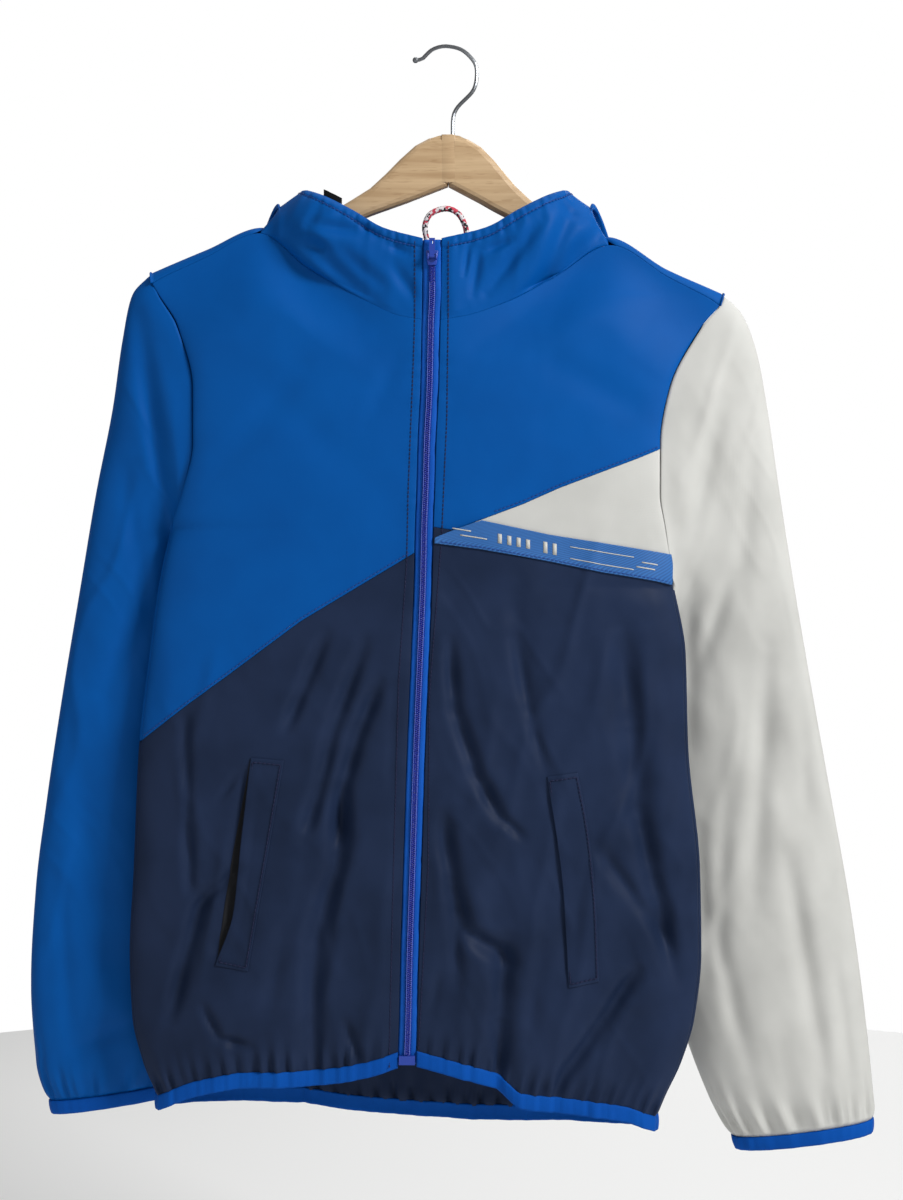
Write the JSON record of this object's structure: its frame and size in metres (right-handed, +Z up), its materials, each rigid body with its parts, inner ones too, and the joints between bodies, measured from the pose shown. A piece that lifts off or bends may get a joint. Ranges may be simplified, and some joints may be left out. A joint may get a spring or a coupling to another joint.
{
  "type": "windbreaker jacket on hanger",
  "caption": "Hooded zip-front windbreaker jacket in three colours, with gathered cuffs and hem, hanging on a contoured wooden hanger with a wire hook.",
  "frame": {"origin": "inside of the hook's top, where it rests on a nail or rail", "axes": "+Z up, -Y the jacket's front, +X to the right of someone who looks at the front"},
  "size_m": [0.6588, 0.1122, 0.8548],
  "materials": {
    "blue_cloth": "plain-woven polyester, soft sheen",
    "navy_cloth": "plain-woven polyester, soft sheen",
    "white_cloth": "plain-woven polyester, soft sheen",
    "binding": "elastic binding",
    "woven_tape": "herringbone tape",
    "zip_tape": "woven zip tape",
    "zip_coil": "nylon coil",
    "zip_slider": "painted zinc",
    "beech": "clear lacquer",
    "hook_chrome": "polished",
    "loop_cord": "braided",
    "label": "folded satin label"
  },
  "bodies": {
    "root": {"front_right_upper": "blue_cloth", "front_left_upper": "blue_cloth", "back_upper": "blue_cloth", "sleeve_right": "blue_cloth", "hood_right": "blue_cloth", "hood_left": "blue_cloth", "front_right_lower": "navy_cloth", "front_left_lower": "navy_cloth", "back_lower": "navy_cloth", "pocket_welt_right": "navy_cloth", "pocket_welt_left": "navy_cloth", "pocket_bag_right": "navy_cloth", "pocket_bag_left": "navy_cloth", "front_left_wedge": "white_cloth", "sleeve_left": "white_cloth", "hem_front_right": "binding", "hem_front_left": "binding", "hem_back": "binding", "cuff_right": "binding", "cuff_left": "binding", "front_left_tape": "woven_tape", "zip_tape_right": "zip_tape", "zip_tape_left": "zip_tape", "zip_coil": "zip_coil", "zip_box": "zip_slider", "zip_slider": "zip_slider", "hanger_arm_right": "beech", "hanger_arm_left": "beech", "hook": "hook_chrome", "hang_loop": "loop_cord", "label": "label"},
    "pull": {"zip_pull": "zip_slider"}
  },
  "joints": [
    {"name": "pull_turn", "type": "hinge", "parent": "root", "child": "pull", "pos_m": [-0.011, -0.03648, -0.16565], "axis": [1, 0, 0], "range_deg": [0, 150]}
  ]
}
